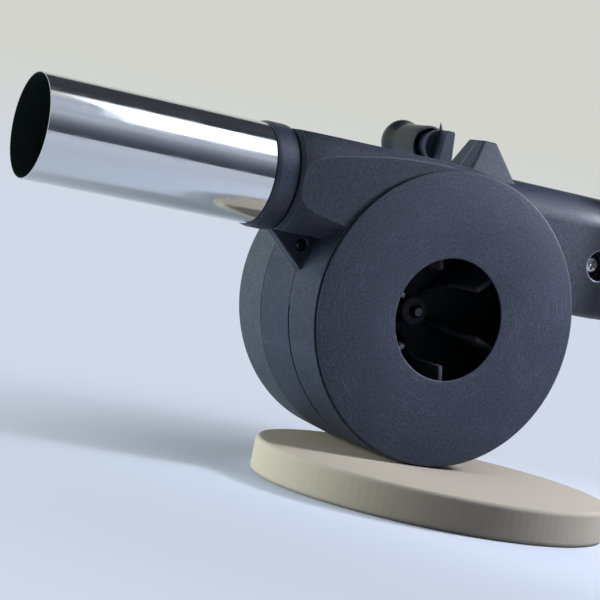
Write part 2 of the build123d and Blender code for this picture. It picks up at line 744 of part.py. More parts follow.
parts = {
    "intake_lid": intake_lid(),
    "front_shell": front_shell,
    "rear_shell": rear_shell,
    "gear_cover": gear_cover(),
    "nozzle_tube": nozzle_tube(),
    "nozzle_collar": nozzle_collar(),
    "handle_screws": screw_set(grip_screws, grip_front_y + grip_recess_depth, grip_screw_size, -1),
    "gusset_screw": pan_screw(gusset_screw_at, gusset_seat_y, small_screw_radius, gusset_screw_size, -1),
    "cover_screws": screw_set(cover_screw_places(), cover_head_seat_y, cover_screw_size, 1),
    "fan_bush_front": sleeve(fan_bush_radius, fan_bearing, back_wall_y - bush_inset, boss_end_y),
    "fan_bush_rear": sleeve(fan_bush_radius, fan_bearing, cover_boss_y + bush_inset, cover_inner_y),
    "compound_axle": rod(fan_shaft_radius, *compound_axle_ends, compound_axis),
    "crank_bush": sleeve(crank_bush_radius, crank_bearing, cover_boss_y, cover_rear_y, crank_axis),
    "impeller": impeller(),
    "fan_shaft": rod(fan_shaft_radius, fan_shaft_front_y, cover_inner_y - end_play),
    "fan_pinion": fan_pinion(),
    "fan_clip": clip(fan_shaft_radius, fan_clip_ends, (0.0, 0.0)),
    "compound_gear": compound_gear(),
    "crank_gear": crank_gear(),
    "crank_shaft": crank_shaft(),
    "crank_clip": clip(crank_shaft_radius, crank_clip_ends, crank_axis),
    "crank_washer": sleeve(crank_shaft_radius + washer_wall, crank_bearing, *washer_ends, crank_axis),
    "crank_arm": crank_arm(),
    "crank_screw": pan_screw(crank_axis, arm_y[1], screw_radius, crank_screw_size, 1),
    "crank_knob": crank_knob(),
}

os.makedirs("parts", exist_ok=True)
for name, solid in parts.items():
    solid.label = name
    export_step(solid, "parts/" + name + ".step")
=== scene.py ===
import bpy, bmesh, math
from mathutils import Matrix, Vector


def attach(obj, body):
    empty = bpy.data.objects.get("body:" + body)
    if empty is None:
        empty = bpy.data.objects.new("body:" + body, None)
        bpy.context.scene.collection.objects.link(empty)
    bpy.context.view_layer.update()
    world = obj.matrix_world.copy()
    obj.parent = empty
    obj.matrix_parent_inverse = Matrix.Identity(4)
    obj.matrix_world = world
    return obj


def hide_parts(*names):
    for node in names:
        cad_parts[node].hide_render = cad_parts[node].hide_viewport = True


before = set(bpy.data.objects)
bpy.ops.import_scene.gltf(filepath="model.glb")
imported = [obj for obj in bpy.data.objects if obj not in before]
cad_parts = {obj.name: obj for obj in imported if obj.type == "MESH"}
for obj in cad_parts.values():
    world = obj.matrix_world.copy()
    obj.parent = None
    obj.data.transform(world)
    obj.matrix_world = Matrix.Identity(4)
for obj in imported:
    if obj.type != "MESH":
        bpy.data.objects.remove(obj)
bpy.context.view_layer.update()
print("frame loaded:", len(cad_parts), "nodes")


def linear(hexText):
    channels = [int(hexText[i:i + 2], 16) / 255 for i in (1, 3, 5)]
    return [c / 12.92 if c <= 0.04045 else ((c + 0.055) / 1.055) ** 2.4 for c in channels] + [1.0]


def addNode(tree, kind, values=None, links=None, **settings):
    node = tree.nodes.new(kind)
    for key, value in settings.items():
        setattr(node, key, value)
    for key, value in (values or {}).items():
        node.inputs[key].default_value = value
    for key, socket in (links or {}).items():
        tree.links.new(socket, node.inputs[key])
    return node


def newMaterial(name):
    material = bpy.data.materials.new(name)
    material.use_nodes = True
    material.node_tree.nodes.clear()
    return material, material.node_tree


def finishMaterial(tree, shader):
    addNode(tree, "ShaderNodeOutputMaterial", links={"Surface": shader})


# Injection moulded plastic: the mould's spark-eroded grain is a fine even mottle that spreads the
# gloss wide. Handling leaves thin curved scuffs and rubs open corners smoother; the paler colour
# that open corners get is a painted highlight.
def mouldedPlastic(name, look):
    material, tree = newMaterial(name)
    place = addNode(tree, "ShaderNodeTexCoord").outputs["Object"]
    grain = addNode(tree, "ShaderNodeTexNoise",
                    {"Scale": 1000 / look["grainMm"], "Detail": 3.0, "Roughness": 0.6},
                    {"Vector": place}).outputs[0]
    cloud = addNode(tree, "ShaderNodeTexNoise",
                    {"Scale": 1000 / look["cloudMm"], "Detail": 3.0, "Roughness": 0.55},
                    {"Vector": place}).outputs[0]

    # curved scuffs: long along the turn about the drum's axis, thin across it, and in patches
    apart = addNode(tree, "ShaderNodeSeparateXYZ", links={0: place})
    flat = addNode(tree, "ShaderNodeCombineXYZ", links={0: apart.outputs[0], 1: apart.outputs[2]})
    reach = addNode(tree, "ShaderNodeVectorMath", links={0: flat.outputs[0]},
                    operation="LENGTH").outputs["Value"]
    turn = addNode(tree, "ShaderNodeMath", links={0: apart.outputs[2], 1: apart.outputs[0]},
                   operation="ARCTAN2").outputs[0]
    across = addNode(tree, "ShaderNodeMath", {1: 1000 / look["scuffWidthMm"]}, {0: reach},
                     operation="MULTIPLY").outputs[0]
    along = addNode(tree, "ShaderNodeMath", {1: look["scuffsPerTurn"]}, {0: turn},
                    operation="MULTIPLY").outputs[0]
    strip = addNode(tree, "ShaderNodeCombineXYZ", links={0: across, 1: along}).outputs[0]
    scuff = addNode(tree, "ShaderNodeTexNoise",
                    {"Scale": 1.0, "Detail": 2.5, "Roughness": 0.65,
                     "Distortion": look["scuffWander"]}, {"Vector": strip}).outputs[0]
    scuff = addNode(tree, "ShaderNodeMapRange",
                    {"From Min": look["scuffRange"][0], "From Max": look["scuffRange"][1]},
                    {"Value": scuff}).outputs[0]
    patches = addNode(tree, "ShaderNodeMapRange",
                      {"From Min": look["patchRange"][0], "From Max": look["patchRange"][1]},
                      {"Value": cloud}).outputs[0]
    scuff = addNode(tree, "ShaderNodeMath", links={0: scuff, 1: patches},
                    operation="MULTIPLY").outputs[0]
    scuff = addNode(tree, "ShaderNodeMath", {1: look["scuffShare"]}, {0: scuff},
                    operation="MULTIPLY").outputs[0]

    mottle = addNode(tree, "ShaderNodeMapRange",
                     {"From Min": look["mottleRange"][0], "From Max": look["mottleRange"][1]},
                     {"Value": grain}).outputs[0]
    base = addNode(tree, "ShaderNodeMix", {6: linear(look["deep"]), 7: linear(look["pale"])},
                   {0: mottle}, data_type="RGBA").outputs[2]
    base = addNode(tree, "ShaderNodeMix", {7: linear(look["scuffColour"])}, {0: scuff, 6: base},
                   data_type="RGBA").outputs[2]
    rough = addNode(tree, "ShaderNodeMapRange",
                    {"From Min": look["cloudRange"][0], "From Max": look["cloudRange"][1],
                     "To Min": look["rough"][0], "To Max": look["rough"][1]},
                    {"Value": cloud}).outputs[0]
    if "gripFromMm" in look:
        # the grip is worn smoother by the hand; its darker colour is painted shade
        held = addNode(tree, "ShaderNodeMapRange",
                       {"From Min": look["gripFromMm"][0] / 1000,
                        "From Max": look["gripFromMm"][1] / 1000},
                       {"Value": apart.outputs[0]}, interpolation_type="SMOOTHSTEP").outputs[0]
        base = addNode(tree, "ShaderNodeMix", {7: linear(look["gripShadeColour"])}, {0: held, 6: base},
                       data_type="RGBA").outputs[2]
        rough = addNode(tree, "ShaderNodeMix", {3: look["gripRough"]}, {0: held, 2: rough},
                        data_type="FLOAT").outputs[0]

    # a corner is where the rounded normal leaves the face's own; open corners are worn smoother
    # and painted paler, a painted highlight along them
    edge = addNode(tree, "ShaderNodeBevel", {"Radius": look["edgeMm"] / 1000},
                   samples=look["samples"]).outputs[0]
    face = addNode(tree, "ShaderNodeNewGeometry").outputs["Normal"]
    level = addNode(tree, "ShaderNodeVectorMath", links={0: edge, 1: face},
                    operation="DOT_PRODUCT").outputs["Value"]
    edgeWearAndHighlight = addNode(tree, "ShaderNodeMapRange",
                     {"From Min": look["cornerRange"][0], "From Max": look["cornerRange"][1],
                      "To Max": look["edgeWearAndHighlight"]}, {"Value": level}).outputs[0]
    around = addNode(tree, "ShaderNodeAmbientOcclusion", {"Distance": look["nearMm"] / 1000},
                     samples=look["samples"]).outputs["AO"]
    bare = addNode(tree, "ShaderNodeMapRange",
                   {"From Min": look["openRange"][0], "From Max": look["openRange"][1]},
                   {"Value": around}).outputs[0]
    beyond = addNode(tree, "ShaderNodeMapRange",
                     {"From Min": look["edgeMarkFromMm"] / 1000,
                      "From Max": (look["edgeMarkFromMm"] + 1) / 1000}, {"Value": reach}).outputs[0]
    for mask in (bare, beyond):
        edgeWearAndHighlight = addNode(tree, "ShaderNodeMath", links={0: edgeWearAndHighlight, 1: mask},
                         operation="MULTIPLY").outputs[0]
    # painted highlight: open corners are painted paler
    base = addNode(tree, "ShaderNodeMix", {7: linear(look["edgeHighlightColour"])}, {0: edgeWearAndHighlight, 6: base},
                   data_type="RGBA").outputs[2]
    rough = addNode(tree, "ShaderNodeMix", {3: look["rubRough"]}, {0: edgeWearAndHighlight, 2: rough},
                    data_type="FLOAT").outputs[0]

    bump = addNode(tree, "ShaderNodeBump",
                   {"Strength": look["grainStrength"], "Distance": look["grainDepthMm"] / 1000},
                   {"Height": grain, "Normal": edge}).outputs[0]
    shader = addNode(tree, "ShaderNodeBsdfPrincipled",
                     {"IOR": look["ior"], "Specular IOR Level": look["sheen"]},
                     {"Base Color": base, "Roughness": rough, "Normal": bump}).outputs[0]
    finishMaterial(tree, shader)
    return material


absLook = {
    "grainMm": 0.9,  # the real grain is 0.1 to 0.2 mm, drawn coarser so that it shows
    "grainDepthMm": 0.05, "grainStrength": 0.5, "mottleRange": (0.34, 0.68),
    "cloudMm": 20.0, "patchRange": (0.42, 0.6),  # patches of wear, about a fingertip wide
    "scuffWidthMm": 0.5,  # real scuffs are 0.05 mm or finer, drawn wider so that they show
    "scuffsPerTurn": 6.0, "scuffWander": 1.1, "scuffRange": (0.52, 0.74), "scuffShare": 0.05,
    "scuffColour": "#8B93A8",
    "edgeMm": 0.7,  # the radius of the mould's corners
    "cornerRange": (0.995, 0.93),  # the dot of both normals where a corner starts and is full
    "nearMm": 1.5, "openRange": (0.8, 0.97),  # how open it has to be within that reach
    # open corners: how far they are worn smoother and painted paler as a painted highlight
    "samples": 6, "edgeWearAndHighlight": 0.6, "edgeHighlightColour": "#5B6375", "rubRough": 0.3,
    "edgeMarkFromMm": 0.0,  # corners nearer to the drum's axis get neither wear nor painted highlight
    "rough": (0.5, 0.58), "cloudRange": (0.3, 0.7), "sheen": 0.4, "ior": 1.53,
    "deep": "#1D212C", "pale": "#3A4152",
}
# Black ABS lid, moulded in a grained tool: flat slate grey, with short pale scuffs
lidAbs = mouldedPlastic("mouldedAbsLid", {
    **absLook, "scuffShare": 0.3, "deep": "#232836", "pale": "#41485B"})
# Black ABS casing, moulded in a grained tool: dark and matt; glossier on the grip, and painted near
# black there as painted shade
shellAbs = mouldedPlastic("mouldedAbsShell", {
    **absLook, "gripFromMm": (48.0, 66.0), "gripShadeColour": "#12151D", "gripRough": 0.3,
    # a stronger painted highlight on its open corners, beyond the drum's rim
    "edgeWearAndHighlight": 0.9, "edgeHighlightColour": "#7A8397", "edgeMarkFromMm": 52.6, "edgeMm": 0.9})
# Black ABS gear cover, moulded in a grained tool: matt, paler and less blue than the casing
coverAbs = mouldedPlastic("mouldedAbsCover", {**absLook, "deep": "#2B3139", "pale": "#4A525C"})
# Black ABS collar, moulded in a smoother tool: satin, so that its rims catch the light; their
# paler colour is a painted highlight
collarAbs = mouldedPlastic("satinAbsCollar", {
    **absLook, "deep": "#353B4A", "pale": "#4C5466", "rough": (0.36, 0.42), "grainStrength": 0.3,
    "edgeWearAndHighlight": 0.9, "edgeHighlightColour": "#6B7386"})
# Black ABS fan, moulded in a plain tool: dull and clean, since no hand reaches it; coloured a
# paler grey than black, as painted light in the dark inside of the housing
fanAbs = mouldedPlastic("mouldedAbsFan", {
    **absLook, "deep": "#3F4149", "pale": "#4D5059", "scuffShare": 0.0, "edgeWearAndHighlight": 0.0,
    "rough": (0.6, 0.68), "sheen": 0.25})
# Polypropylene knob, moulded glossy: softer and waxier than ABS, a green-grey black
knobPp = mouldedPlastic("mouldedPolypropylene", {
    **absLook, "ior": 1.49, "deep": "#13191B", "pale": "#20272A", "rough": (0.26, 0.32),
    "sheen": 0.5})
# Polypropylene arm, moulded in a grained tool: matt blue-black
armPp = mouldedPlastic("mouldedPolypropyleneArm", {
    **absLook, "ior": 1.49, "deep": "#1D2330", "pale": "#2C3341", "rough": (0.48, 0.54),
    "sheen": 0.3})
# Uncoloured acetal gears, moulded: off-white, slightly waxy
acetal = mouldedPlastic("naturalAcetal", {
    **absLook, "ior": 1.48, "deep": "#D2CFC4", "pale": "#DEDBD0", "scuffShare": 0.0,
    "grainStrength": 0.1, "rough": (0.3, 0.36)})


# Drawn or turned metal: faint lines along X from drawing and polishing, and smears from handling
# that dull the shine in patches
def drawnMetal(name, look):
    material, tree = newMaterial(name)
    place = addNode(tree, "ShaderNodeTexCoord").outputs["Object"]
    drawn = addNode(tree, "ShaderNodeMapping", {"Scale": look["lineScale"]},
                    {"Vector": place}).outputs[0]
    lines = addNode(tree, "ShaderNodeTexNoise", {"Scale": 1.0, "Detail": 3.0, "Roughness": 0.6},
                    {"Vector": drawn}).outputs[0]
    smear = addNode(tree, "ShaderNodeTexNoise", {"Scale": 1000 / look["smearMm"], "Detail": 4.0},
                    {"Vector": place}).outputs[0]
    mixed = addNode(tree, "ShaderNodeMath", links={0: lines, 1: smear},
                    operation="MULTIPLY").outputs[0]
    rough = addNode(tree, "ShaderNodeMapRange",
                    {"From Min": look["mixRange"][0], "From Max": look["mixRange"][1],
                     "To Min": look["rough"][0], "To Max": look["rough"][1]},
                    {"Value": mixed}).outputs[0]
    bump = addNode(tree, "ShaderNodeBump",
                   {"Strength": look["lineStrength"], "Distance": look["lineDepthMm"] / 1000},
                   {"Height": lines}).outputs[0]
    shader = addNode(tree, "ShaderNodeBsdfPrincipled",
                     {"Base Color": linear(look["colour"]), "Metallic": 1.0},
                     {"Roughness": rough, "Normal": bump}).outputs[0]
    if "insideMm" in look:
        centred = addNode(tree, "ShaderNodeVectorMath", {1: [c / 1000 for c in look["axisMm"]]},
                          {0: place}, operation="SUBTRACT").outputs[0]
        square = addNode(tree, "ShaderNodeVectorMath", {1: (0.0, 1.0, 1.0)}, {0: centred},
                         operation="MULTIPLY").outputs[0]
        reach = addNode(tree, "ShaderNodeVectorMath", links={0: square},
                        operation="LENGTH").outputs["Value"]
        outside = addNode(tree, "ShaderNodeMath", {1: look["insideMm"] / 1000}, {0: reach},
                          operation="GREATER_THAN").outputs[0]
        # the inside is dull, and its dark colour is painted shade in the bore
        skin = addNode(tree, "ShaderNodeMix",
                       {6: linear(look["boreShadeDeep"]), 7: linear(look["boreShadePale"])}, {0: smear},
                       data_type="RGBA").outputs[2]
        dull = addNode(tree, "ShaderNodeBsdfPrincipled",
                       {"Roughness": look["skinRough"], "Specular IOR Level": look["skinSheen"]},
                       {"Base Color": skin}).outputs[0]
        shader = addNode(tree, "ShaderNodeMixShader",
                         links={0: outside, 1: dull, 2: shader}).outputs[0]
    finishMaterial(tree, shader)
    return material


steelLook = {
    "lineScale": (14.0, 900.0, 900.0),  # real lines are 0.1 mm apart, drawn 1.1 mm to show
    "lineStrength": 0.1, "lineDepthMm": 0.02, "smearMm": 9.0,
    "mixRange": (0.12, 0.42),  # lines times smears, from bright to dull
}
# Stainless steel tube, drawn and polished: almost a mirror, with hazy smears; inside it keeps the
# dull skin of the mill, coloured dark as painted shade in the bore
tubeSteel = drawnMetal("polishedStainlessTube", {
    **steelLook, "colour": "#D6D8DA", "rough": (0.04, 0.2), "axisMm": (0.0, 20.6, 36.45),
    "insideMm": 17.2, "boreShadeDeep": "#1E2A29", "boreShadePale": "#303D3B", "skinRough": 0.6,
    "skinSheen": 0.2})
# Zinc-plated steel screws, clips and washer, pressed and plated: a soft grey shine
screwSteel = drawnMetal("zincPlatedScrew", {
    **steelLook, "colour": "#C9CBCE", "rough": (0.2, 0.3)})
# Dark steel screw: darker than the other screws, with a low shine
darkSteel = drawnMetal("darkSteelScrew", {
    **steelLook, "colour": "#3E4147", "rough": (0.25, 0.35)})
# Steel shafts and axle, ground: dark grey, with an even half gloss
shaftSteel = drawnMetal("groundSteelShaft", {
    **steelLook, "colour": "#505257", "rough": (0.3, 0.4)})
# Bronze bushes, sintered: brown gold, half matt
bushBronze = drawnMetal("sinteredBronzeBush", {
    **steelLook, "colour": "#B08A52", "rough": (0.4, 0.5)})
print("finishes made")

finishes = {
    "intake_lid": lidAbs, "front_shell": shellAbs, "rear_shell": shellAbs, "gear_cover": coverAbs,
    "nozzle_collar": collarAbs, "nozzle_tube": tubeSteel, "handle_screws": screwSteel,
    "gusset_screw": darkSteel, "cover_screws": screwSteel, "fan_bush_front": bushBronze,
    "fan_bush_rear": bushBronze, "compound_axle": shaftSteel, "crank_bush": bushBronze,
    "impeller": fanAbs, "fan_shaft": shaftSteel, "fan_pinion": acetal, "fan_clip": screwSteel,
    "compound_gear": acetal, "crank_gear": acetal, "crank_shaft": shaftSteel,
    "crank_clip": screwSteel, "crank_washer": screwSteel, "crank_arm": armPp,
    "crank_screw": screwSteel, "crank_knob": knobPp,
}
for name, material in finishes.items():
    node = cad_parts[name]
    node.data.materials.clear()
    node.data.materials.append(material)


def linkObject(name, data):
    piece = bpy.data.objects.new(name, data)
    bpy.context.scene.collection.objects.link(piece)
    return piece


def smoothByAngle(mesh, degrees):
    form = bmesh.new()
    form.from_mesh(mesh)
    for face in form.faces:
        face.smooth = True
    for edge in form.edges:
        edge.smooth = edge.is_manifold and edge.calc_face_angle(3.0) < math.radians(degrees)
    form.to_mesh(mesh)
    form.free()


# Corners are (radius, height along the axis, rounding) in mm, all the way round the section
def roundedSection(corners, steps=6):
    points = []
    for index, (radius, height, rounding) in enumerate(corners):
        here = Vector((radius, height))
        if rounding == 0:
            points.append(here)
            continue
        back = (Vector(corners[index - 1][:2]) - here).normalized()
        ahead = (Vector(corners[(index + 1) % len(corners)][:2]) - here).normalized()
        half = back.angle(ahead) / 2
        start = here + back * rounding / math.tan(half)
        end = here + ahead * rounding / math.tan(half)
        middle = here + (back + ahead).normalized() * rounding / math.sin(half)
        sweep = (start - middle).angle_signed(end - middle)
        for step in range(steps + 1):
            turn = Matrix.Rotation(-sweep * step / steps, 2)
            points.append(middle + turn @ (start - middle))
    return points


# Turns a section about an axis through the given point: Y for the drum's pieces, X for the nozzle's
def turnedMesh(name, section, axis, centre, segments=192):
    form = bmesh.new()
    rings = []
    for index in range(segments):
        angle = 2 * math.pi * index / segments
        ring = []
        for radius, height in section:
            if axis == "Y":
                spot = Vector((radius * math.cos(angle), height, radius * math.sin(angle)))
            else:
                spot = Vector((height, radius * math.cos(angle), radius * math.sin(angle)))
            ring.append(form.verts.new((spot + Vector(centre)) / 1000))
        rings.append(ring)
    count = len(section)
    for index in range(segments):
        near, far = rings[index], rings[(index + 1) % segments]
        for k in range(count):
            form.faces.new((near[k], near[(k + 1) % count], far[(k + 1) % count], far[k]))
    bmesh.ops.remove_doubles(form, verts=form.verts, dist=1e-7)
    bmesh.ops.delete(form, geom=[e for e in form.edges if not e.link_faces], context="EDGES")
    bmesh.ops.recalc_face_normals(form, faces=form.faces)
    mesh = bpy.data.meshes.new(name)
    form.to_mesh(mesh)
    form.free()
    smoothByAngle(mesh, degrees=38)
    return mesh


def placePiece(name, mesh, body, *nodes):
    mesh.materials.clear()
    mesh.materials.append(finishes[nodes[0]])
    piece = linkObject(name, mesh)
    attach(piece, body)
    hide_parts(*nodes)
    return piece


# Lid: a disc with a thin rim over a shadow groove and a plug that enters the casing; the inlet's
# edge is undercut, so that it looks thin
lidLook = {"inlet": 21.35, "rim": 52.0, "rimThick": 0.35, "groove": 50.9, "grooveTo": 1.2,
           "plate": 2.0, "plug": 50.1, "plugWall": 1.8, "plugEnd": 7.0, "undercut": 1.1,
           "rounding": 0.3}
plugInside = lidLook["plug"] - lidLook["plugWall"]
lidSection = roundedSection([
    (lidLook["inlet"], 0.0, lidLook["rounding"]), (lidLook["rim"], 0.0, lidLook["rounding"]),
    (lidLook["rim"], lidLook["rimThick"], 0.0),
    (lidLook["groove"], lidLook["rimThick"] + 0.1, 0.0),
    (lidLook["groove"], lidLook["grooveTo"], 0.0), (lidLook["plug"], lidLook["grooveTo"], 0.0),
    (lidLook["plug"], lidLook["plugEnd"], lidLook["rounding"]),
    (plugInside, lidLook["plugEnd"], lidLook["rounding"]), (plugInside, lidLook["plate"], 0.0),
    (lidLook["inlet"] + lidLook["undercut"], lidLook["plate"], 0.0),
])
placePiece("intakeLid", turnedMesh("intakeLid", lidSection, "Y", (0, 0, 0)), "housing",
           "intake_lid")

# Tube: a thin wall that steps in at its rear end, where the collar holds it on the neck
tubeLook = {"axis": (0, 20.6, 36.45), "mouth": -156.3, "radius": 17.5, "wall": 0.5,
            "neckRadius": 17.1, "stepFrom": -75.9, "stepTo": -75.5, "stepInside": 0.2,
            "end": -68.8, "rounding": 0.2}
bore = tubeLook["radius"] - tubeLook["wall"]
neckBore = tubeLook["neckRadius"] - tubeLook["wall"]
tubeSection = roundedSection([
    (tubeLook["radius"], tubeLook["mouth"], tubeLook["rounding"]),
    (tubeLook["radius"], tubeLook["stepFrom"], 0.0),
    (tubeLook["neckRadius"], tubeLook["stepTo"], 0.0),
    (tubeLook["neckRadius"], tubeLook["end"], 0.0), (neckBore, tubeLook["end"], 0.0),
    (neckBore, tubeLook["stepTo"] - tubeLook["stepInside"], 0.0),
    (bore, tubeLook["stepFrom"] - tubeLook["stepInside"], 0.0),
    (bore, tubeLook["mouth"], tubeLook["rounding"]),
], steps=4)
placePiece("nozzleTube", turnedMesh("nozzleTube", tubeSection, "X", tubeLook["axis"]), "housing",
           "nozzle_tube")

# Collar: a ring with a slight swell between rounded rims
collarLook = {"bore": 17.15, "neckBore": 16.6, "lipFrom": -68.75, "front": -75.5, "back": -67.3,
              "rim": 18.05, "rimRound": 0.5, "swell": 18.3, "swellFrom": -74.0, "swellTo": -69.0,
              "swellRound": 1.5}
collarSection = roundedSection([
    (collarLook["bore"], collarLook["front"], 0.0),
    (collarLook["rim"], collarLook["front"], collarLook["rimRound"]),
    (collarLook["swell"], collarLook["swellFrom"], collarLook["swellRound"]),
    (collarLook["swell"], collarLook["swellTo"], collarLook["swellRound"]),
    (collarLook["rim"], collarLook["back"], collarLook["rimRound"]),
    (collarLook["neckBore"], collarLook["back"], 0.0),
    (collarLook["neckBore"], collarLook["lipFrom"], 0.0),
    (collarLook["bore"], collarLook["lipFrom"], 0.0),
], steps=5)
placePiece("nozzleCollar", turnedMesh("nozzleCollar", collarSection, "X", tubeLook["axis"]),
           "housing", "nozzle_collar")

# Knob: a hollow sleeve, closed and swollen at its far end; first its outside from the mouth on,
# then its inside back to the mouth
knobLook = {
    "axis": (24.6, 0, 62.7),
    "corners": [
        (6.6, 77.4, 0.25), (7.6, 77.4, 0.35), (7.6, 92.8, 0.0), (7.75, 94.0, 0.0),
        (8.15, 95.5, 0.0), (8.65, 96.9, 0.0), (9.0, 98.0, 0.0), (9.1, 98.8, 0.0),
        (9.02, 99.9, 0.0), (8.6, 101.0, 0.0), (7.8, 101.8, 0.0), (6.6, 102.25, 0.0),
        (5.2, 102.4, 0.0), (0.0, 102.4, 0.0),
        (0.0, 100.1, 0.0), (6.1, 100.1, 0.0), (6.1, 97.2, 0.0), (5.25, 97.2, 0.0),
        (5.25, 89.0, 0.0), (6.6, 88.0, 0.0),
    ],
}
knobSection = roundedSection(knobLook["corners"], steps=4)
placePiece("crankKnob", turnedMesh("crankKnob", knobSection, "Y", knobLook["axis"], segments=96),
           "knob", "crank_knob")

# Arm: its boss stops short of the knob, so that the knob's dark mouth shows round the post.
# In metres, because it is a copy of the CAD mesh
armLook = {"axis": (0.0246, 0.0627), "boss": (0.0049, 0.0066), "bossEnd": (0.0759, 0.0771),
           "shorter": 0.0036}
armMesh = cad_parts["crank_arm"].data.copy()
form = bmesh.new()
form.from_mesh(armMesh)
bmesh.ops.remove_doubles(form, verts=form.verts, dist=2e-6)
for spot in form.verts:
    out = math.hypot(spot.co.x - armLook["axis"][0], spot.co.z - armLook["axis"][1])
    if (armLook["boss"][0] < out < armLook["boss"][1]
            and armLook["bossEnd"][0] < spot.co.y < armLook["bossEnd"][1]):
        spot.co.y -= armLook["shorter"]
form.to_mesh(armMesh)
form.free()
smoothByAngle(armMesh, degrees=20)
placePiece("crankArm", armMesh, "crank", "crank_arm")
print("turned pieces made")


# What all the screws share. Dome and edgeDrop say how far a head falls off at its rim, as shares
# of its height; middle is the round middle of its cross recess, in half widths of the slot
headLook = {"rings": 36, "segments": 96, "dome": 0.12, "edgeDrop": 0.43, "middle": 1.6,
            "spin": 1.4, "firstSeed": 3}


# Pan-head screw along Z, seated at 0; the cross recess is cut into the head as real depth
def screwMesh(name, look):
    form = bmesh.new()
    rings, segments = headLook["rings"], headLook["segments"]
    slot, reach = look["slotHalf"], look["slotReach"]

    def top(x, y):
        share = math.hypot(x, y) / look["head"]
        inside = min(max(abs(x) - slot, abs(y) - reach), max(abs(y) - slot, abs(x) - reach),
                     math.hypot(x, y) - headLook["middle"] * slot)
        sunk = look["sunk"] * min(1.0, max(0.0, -inside / look["slotWall"]))
        crown = 1 - headLook["dome"] * share ** 2 - headLook["edgeDrop"] * share ** 8
        return look["height"] * crown - sunk

    profile = [(look["head"] * k / rings, None) for k in range(1, rings + 1)]
    profile += [(look["head"], 0.0), (look["shank"], 0.0),
                (look["shank"], look["shank"] - look["length"])]
    loops = []
    for radius, z in profile:
        spots = [(radius * math.cos(math.tau * k / segments),
                  radius * math.sin(math.tau * k / segments)) for k in range(segments)]
        loops.append([form.verts.new((x / 1000, y / 1000, (top(x, y) if z is None else z) / 1000))
                      for x, y in spots])
    centre = form.verts.new((0, 0, top(0, 0) / 1000))
    tip = form.verts.new((0, 0, -look["length"] / 1000))
    for k in range(segments):
        after = (k + 1) % segments
        form.faces.new((centre, loops[0][k], loops[0][after]))
        form.faces.new((tip, loops[-1][k], loops[-1][after]))
        for inner, outer in zip(loops, loops[1:]):
            form.faces.new((inner[k], outer[k], outer[after], inner[after]))
    bmesh.ops.recalc_face_normals(form, faces=form.faces)
    mesh = bpy.data.meshes.new(name)
    form.to_mesh(mesh)
    form.free()
    smoothByAngle(mesh, degrees=30)
    return mesh


# Geometry Nodes: one unit is set at marked points, turned by the mark's own turn and then spun by
# a random angle up to Spin, from a fixed seed
def repeatTree():
    group = bpy.data.node_groups.new("repeatAtMarks", "GeometryNodeTree")
    for name, kind in (("Marks", "Geometry"), ("Unit", "Object"), ("Finish", "Material"),
                       ("Spin", "Float"), ("Seed", "Int")):
        group.interface.new_socket(name, in_out="INPUT", socket_type="NodeSocket" + kind)
    group.interface.new_socket("Pieces", in_out="OUTPUT", socket_type="NodeSocketGeometry")
    given = addNode(group, "NodeGroupInput").outputs
    unit = addNode(group, "GeometryNodeObjectInfo", {"As Instance": True},
                   {"Object": given["Unit"]}).outputs["Geometry"]
    turn = addNode(group, "GeometryNodeInputNamedAttribute", {"Name": "turn"},
                   data_type="FLOAT_VECTOR").outputs[0]
    heading = addNode(group, "FunctionNodeEulerToRotation", links={0: turn}).outputs[0]
    placed = addNode(group, "GeometryNodeInstanceOnPoints",
                     links={"Points": given["Marks"], "Instance": unit,
                            "Rotation": heading}).outputs[0]
    angle = addNode(group, "FunctionNodeRandomValue", {2: 0.0},
                    {3: given["Spin"], "Seed": given["Seed"]}, data_type="FLOAT").outputs[1]
    about = addNode(group, "ShaderNodeCombineXYZ", links={2: angle}).outputs[0]
    spun = addNode(group, "GeometryNodeRotateInstances", {"Local Space": True},
                   {"Instances": placed, "Rotation": about}).outputs[0]
    real = addNode(group, "GeometryNodeRealizeInstances", links={0: spun}).outputs[0]
    painted = addNode(group, "GeometryNodeSetMaterial",
                      links={"Geometry": real, "Material": given["Finish"]}).outputs[0]
    addNode(group, "NodeGroupOutput", links={0: painted})
    return group


repeatAtMarks = repeatTree()


def repeatedMesh(name, unitMesh, places, turn, finish, spin, seed):
    marks = bpy.data.meshes.new(name + "Marks")
    marks.from_pydata([[c / 1000 for c in place] for place in places], [], [])
    turns = marks.attributes.new("turn", "FLOAT_VECTOR", "POINT")
    for index, mark in enumerate(turns.data):
        mark.vector = turn(index)
    unit = linkObject(name + "Unit", unitMesh)
    carrier = linkObject(name + "Marks", marks)
    modifier = carrier.modifiers.new("repeat", "NODES")
    modifier.node_group = repeatAtMarks
    values = {"Unit": unit, "Finish": finish, "Spin": spin, "Seed": seed}
    for socket in repeatAtMarks.interface.items_tree:
        if socket.name in values:
            modifier[socket.identifier] = values[socket.name]
    graph = bpy.context.evaluated_depsgraph_get()
    mesh = bpy.data.meshes.new_from_object(carrier.evaluated_get(graph), depsgraph=graph)
    mesh.name = name
    for helper in (carrier, unit):
        bpy.data.objects.remove(helper)
    return mesh


